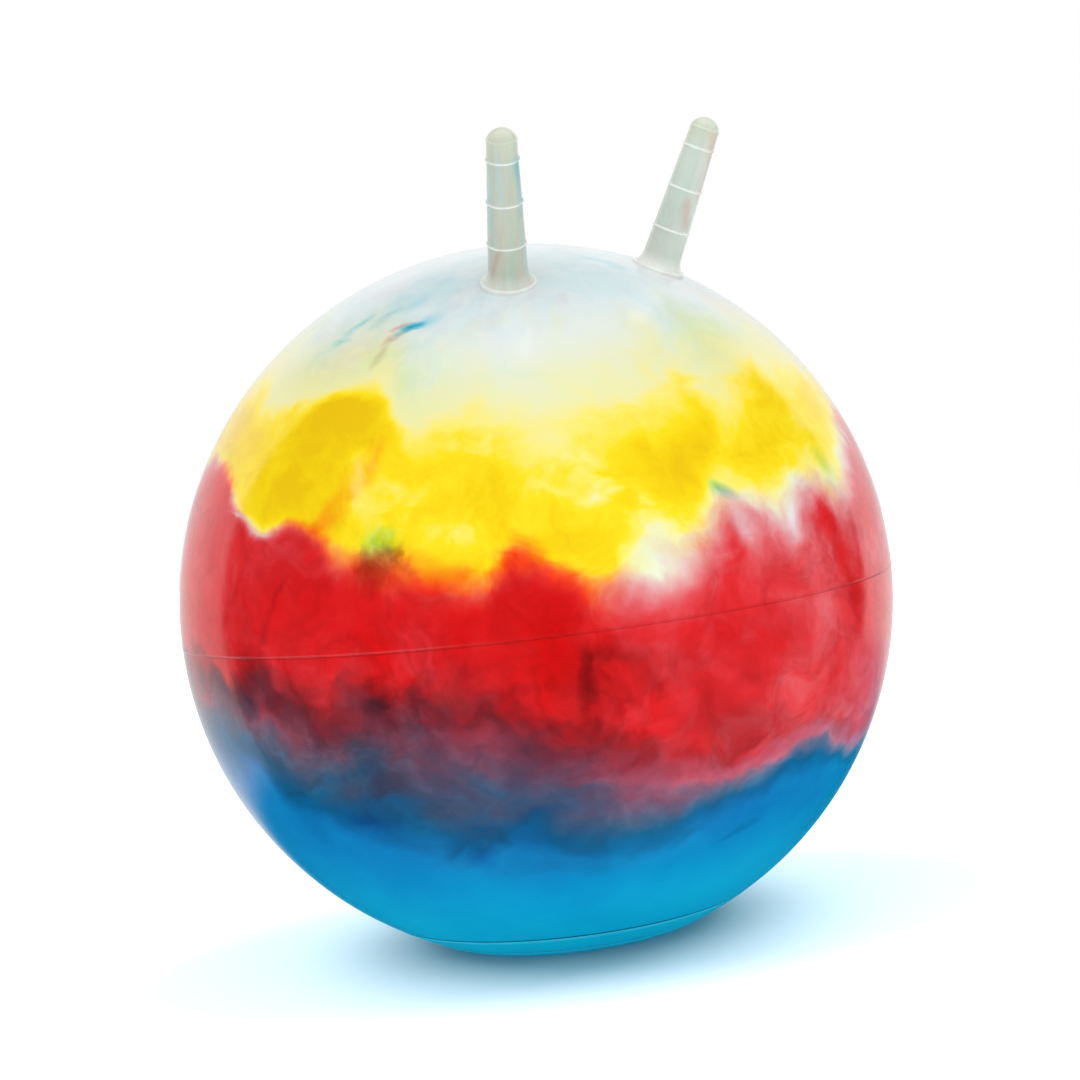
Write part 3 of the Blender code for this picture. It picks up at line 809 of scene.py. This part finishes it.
def rounded(corners):
    """An outline of (radius, height) corners, each eased along a curve from just before to just after it."""
    corners = np.array(corners, float)
    share = np.linspace(0, 1, edge_steps)[:, None]
    curves = []
    for corner, back, on in zip(corners, np.roll(corners, 1, 0), np.roll(corners, -1, 0)):
        first, last = [
            corner + (other - corner) * min(edge_round / np.linalg.norm(other - corner), edge_most)
            for other in (back, on)
        ]
        curves.append((1 - share) ** 2 * first + 2 * share * (1 - share) * corner + share**2 * last)
    return np.concatenate(curves)


def turned(outline):
    """Points of an outline of (radius, height) turned round the valve's axis."""
    across = np.array((1.0, 0.0, 0.0))
    along = np.array(valve_outward)
    third = np.cross(along, across)
    turn = np.arange(valve_columns) * 2 * math.pi / valve_columns
    ray = np.cos(turn)[:, None] * across + np.sin(turn)[:, None] * third
    return np.array(valve_point) + outline[:, :1, None] * ray + outline[:, 1:, None] * along


def valve_paint(name, pale, dusky, fineness):
    """Milky valve plastic: two tones that drift into each other, with moulded grain."""
    material, tree, shader = new_material(name)
    place = put(tree, "ShaderNodeTexCoord").outputs["Object"]
    milky = use(tree, paste_drift, Place=place, Pour=1.3, Scale=140.0, Reach=0.004)["Place"]
    tone = fade(tree, cloudy(tree, milky, 2.9, 110.0, 4.0, 0.6)["Fac"], 0.35, 0.68)
    tree.links.new(mixed(tree, "RGBA", tone, (*pale, 1), (*dusky, 1)), shader.inputs["Base Color"])
    grained(tree, shader, place, fineness, 170.0, sleek=0.32, dull=0.5, strength=0.25, distance=0.0003)
    return material


sleeve_rings = turned(rounded([
    (sleeve_bore, flange_top),
    (groove_radius - groove_half, flange_top),
    (groove_radius, flange_top - groove_depth),
    (groove_radius + groove_half, flange_top),
    (flange_radius, flange_top - flange_fall),
    (flange_radius, flange_under),
    (sleeve_neck, flange_under),
    (sleeve_neck, collar_top),
    (collar_radius, collar_top),
    (collar_radius, collar_top - collar_band),
    (sleeve_neck, collar_top - 2 * collar_band),
    (sleeve_neck, -sleeve_depth),
    (sleeve_bore, -sleeve_depth),
]))
sleeve = add_piece("valve_grommet", sleeve_rings, grid_faces(*sleeve_rings.shape[:2], joined=True))
sleeve.data.materials.append(valve_paint("milky_grommet", (0.74, 0.80, 0.77), (0.62, 0.70, 0.69), 2200.0))
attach(sleeve, "ball")
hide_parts("valve_sleeve")


# Valve plug. The stopper pushed into the grommet: white moulded plastic with a dished head and two barbs.
# It is held by its barbs alone and is pulled straight out to fill the ball or let it down.

plug_head, plug_under, plug_head_top, plug_dish = 0.0088, 0.0020, 0.0044, 0.0008
plug_shank, plug_core, plug_end, plug_lead = 0.0039, 0.0034, -0.0130, 0.0017
plug_middle, plug_head_fall = 0.0009, 0.0001
barb_pitch = (plug_under - plug_end) / 3
plug_corners = [
    (plug_middle, plug_head_top - plug_dish),
    (plug_head / 2, plug_head_top - plug_dish),
    (plug_head / 2 + plug_dish, plug_head_top),
    (plug_head, plug_head_top - plug_head_fall),
    (plug_head, plug_under),
    (plug_core, plug_under),
]
for barb_top in (plug_under - barb_pitch, plug_under - 2 * barb_pitch):
    plug_corners += [(plug_core, barb_top), (plug_shank, barb_top), (plug_core, barb_top - barb_pitch / 2)]
plug_corners += [(plug_core, plug_end + plug_lead), (plug_core / 2, plug_end), (plug_middle, plug_end)]
plug_outline = rounded(plug_corners)[edge_steps:-edge_steps]
plug_outline = np.concatenate([plug_corners[:1], plug_outline, plug_corners[-1:]])
plug_ends = [valve_point + height * valve_outward for height in (plug_head_top - plug_dish, plug_end)]
plug = closed_mesh("valve_stopper", turned(plug_outline), *plug_ends)
plug.data.materials.append(valve_paint("white_stopper", (0.80, 0.82, 0.80), (0.70, 0.72, 0.71), 2600.0))
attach(plug, "plug")
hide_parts("valve_plug")


# Studio. A white floor sheet, and a white backdrop that wraps round behind the ball. The room in front is
# dark, so the gloss shows the backdrop along both sides. A wide soft light hangs above, and two soft suns
# light the floor alone.

backdrop_turn, backdrop_half, backdrop_edge = math.radians(149.6), math.radians(58), 0.02
backdrop_way = Vector((math.sin(backdrop_turn), -math.cos(backdrop_turn), 0))
floor_middle, floor_radius, floor_drop = 1.75 * backdrop_way, 2.55, 0.0004
floor_rows, floor_columns = 12, 96
floor_turn = np.arange(0, 2 * math.pi, 2 * math.pi / floor_columns)
floor_reach = floor_radius * np.linspace(0.05, 1, floor_rows)[:, None]
floor_points = np.stack([
    floor_middle.x + floor_reach * np.cos(floor_turn),
    floor_middle.y + floor_reach * np.sin(floor_turn),
    np.full((floor_rows, floor_columns), -floor_drop),
], -1)
floor_faces = grid_faces(floor_rows, floor_columns) + [list(range(floor_columns))]
floor = add_piece("floor_sheet", floor_points, floor_faces)

# White paper with a painted glow: a faint blue-green emission that stands in for bounce light come through
# the blue plastic. It tells in the ball's shade and fades out right under the ball, and as painted bounce
# light it lights the ball from below.
floor_paper, tree, shader = new_material("white_paper")
shader.inputs["Base Color"].default_value = (0.60, 0.60, 0.60, 1)
shader.inputs["Roughness"].default_value = 0.9
shader.inputs["Specular IOR Level"].default_value = 0.1
shader.inputs["Emission Color"].default_value = (0.16, 0.76, 0.98, 1)
rays = put(tree, "ShaderNodeLightPath").outputs
from_ball = vectors(tree, "LENGTH", put(tree, "ShaderNodeTexCoord").outputs["Object"])
# Painted bounce light seen by the camera: faint right under the ball, stronger further out.
painted_bounce_glow = sums(tree, "MULTIPLY", rays["Is Camera Ray"], fade(tree, from_ball, 0.095, 0.20, 0.02, 0.27))
# Painted bounce light seen by diffuse rays, which lights the ball from below.
painted_bounce_glow = sums(tree, "MULTIPLY_ADD", rays["Is Diffuse Ray"], 0.45, painted_bounce_glow)
tree.links.new(painted_bounce_glow, shader.inputs["Emission Strength"])
floor.data.materials.append(floor_paper)
floor.visible_glossy = False

# The room: white to the camera, lit from the front, and in the gloss a backdrop, a low floor and two strips.
world = bpy.data.worlds.new("studio")
bpy.context.scene.world = world
world.use_nodes = True
tree = world.node_tree
background = tree.nodes["Background"]
camera_turn = math.radians(-35.43)
dark_room, strip_glow = 0.08, 1.6
key_way = Vector((-0.37, -0.90, 0.40)).normalized()
rays = put(tree, "ShaderNodeLightPath").outputs
way = put(tree, "ShaderNodeTexCoord").outputs["Generated"]
level = vectors(tree, "NORMALIZE", vectors(tree, "MULTIPLY", way, (1.0, 1.0, 0.0)))
facing = vectors(tree, "DOT_PRODUCT", level, tuple(backdrop_way))
backdrop_edges = [math.cos(backdrop_half + off) for off in (backdrop_edge, -backdrop_edge)]
mirrored = fade(tree, facing, *backdrop_edges, dark_room, 0.90)
rise = parted(tree, way)["Z"]
mirrored = sums(tree, "MULTIPLY", mirrored, fade(tree, rise, 0.05, 0.3, 1.0, 1.14))
off_left = vectors(tree, "DOT_PRODUCT", way, (-math.cos(camera_turn), -math.sin(camera_turn), 0.0))
off_left = sums(tree, "MAXIMUM", off_left, 0.0)
low = fade(tree, sums(tree, "MULTIPLY_ADD", off_left, 0.25, rise), -0.18, -0.28)
mirrored = mixed(tree, "FLOAT", low, mirrored, fade(tree, facing, 0.3, 0.8, dark_room, 0.42))
mirrored = mixed(tree, "FLOAT", fade(tree, rise, 0.4, 0.8), mirrored, dark_room)
for strip_way, strip_across in (
    ((0.10, 0.01, 0.99), (0.815, -0.58, -0.08)),
    ((0.61, 0.16, 0.78), (0.815, -0.58, -0.52)),
):
    strip_way, strip_across = tuple(Vector(strip_way).normalized()), tuple(Vector(strip_across).normalized())
    ahead = fade(tree, vectors(tree, "DOT_PRODUCT", way, strip_way), math.cos(0.16), math.cos(0.12))
    aside = vectors(tree, "DOT_PRODUCT", vectors(tree, "SUBTRACT", way, strip_way), strip_across)
    strip = sums(tree, "MULTIPLY", ahead, fade(tree, sums(tree, "ABSOLUTE", aside), 0.03, 0.01))
    mirrored = sums(tree, "MULTIPLY_ADD", strip, strip_glow, mirrored)
lit = fade(tree, vectors(tree, "DOT_PRODUCT", way, tuple(key_way)), -1.0, 1.0, 0.42, 1.03)
room = mixed(tree, "FLOAT", rays["Is Glossy Ray"], lit, mirrored)
white = sums(tree, "MAXIMUM", rays["Is Camera Ray"], rays["Is Transmission Ray"])
tree.links.new(mixed(tree, "FLOAT", white, room, 1.0), background.inputs["Strength"])
low_seen = sums(tree, "MULTIPLY", low, rays["Is Glossy Ray"])
low_seen = sums(tree, "MULTIPLY", low_seen, fade(tree, facing, 0.0, 0.5))
tint = mixed(tree, "RGBA", low_seen, (1, 1, 1, 1), (0.02, 0.62, 1.0, 1))
tree.links.new(tint, background.inputs["Color"])


def add_lamp(name, kind, energy, location, shines):
    """Hangs a lamp that shines a given way."""
    light = bpy.data.lights.new(name, kind)
    light.energy = energy
    lamp = bpy.data.objects.new(name, light)
    lamp.location = location
    lamp.rotation_euler = shines.to_track_quat("-Z", "Y").to_euler()
    bpy.context.scene.collection.objects.link(lamp)
    return lamp


top_place, top_energy, top_side = Vector((-0.25, -0.35, 1.75)), 4.0, 1.1
top_lamp = add_lamp("top_softbox", "AREA", top_energy, top_place, ball_centre - top_place)
top_lamp.data.shape, top_lamp.data.size, top_lamp.data.size_y = "RECTANGLE", top_side, top_side
top_lamp.visible_camera = False
top_lamp.visible_glossy = False

floor_only = bpy.data.collections.new("lit_floor")
floor_only.objects.link(floor)
sun_energy, sun_angle, sun_slant, sun_distance = 3.5, math.radians(55), 0.75, 3
for side, sign in (("left", 1), ("right", -1)):
    shines = Matrix.Rotation(backdrop_turn, 3, "Z") @ Vector((-sun_slant * sign, 0.1, -1))
    floor_lamp = add_lamp(side + "_floor_light", "SUN", sun_energy, -sun_distance * shines, shines)
    floor_lamp.data.angle = sun_angle
    floor_lamp.light_linking.receiver_collection = floor_only

camera_rise, camera_roll, camera_distance = math.radians(5.24), math.radians(-6.83), 1.9632
outward = Vector((math.sin(camera_turn), -math.cos(camera_turn), 0))
back = math.cos(camera_rise) * outward + math.sin(camera_rise) * Vector((0, 0, 1))
right = Vector((math.cos(camera_turn), math.sin(camera_turn), 0))
up = back.cross(right)
rolled_right = right * math.cos(camera_roll) + up * math.sin(camera_roll)
rolled_up = up * math.cos(camera_roll) - right * math.sin(camera_roll)
facing_ball = Matrix((rolled_right, rolled_up, back)).transposed().to_4x4()
lens = bpy.data.cameras.new("camera")
lens.sensor_width, lens.lens, lens.shift_x, lens.shift_y = 36.0, 84.12, 0.0035, 0.0560
camera = bpy.data.objects.new("camera", lens)
camera.matrix_world = Matrix.Translation(ball_centre + camera_distance * back) @ facing_ball
bpy.context.scene.collection.objects.link(camera)
bpy.context.scene.camera = camera
bpy.context.scene.view_settings.view_transform = "Standard"
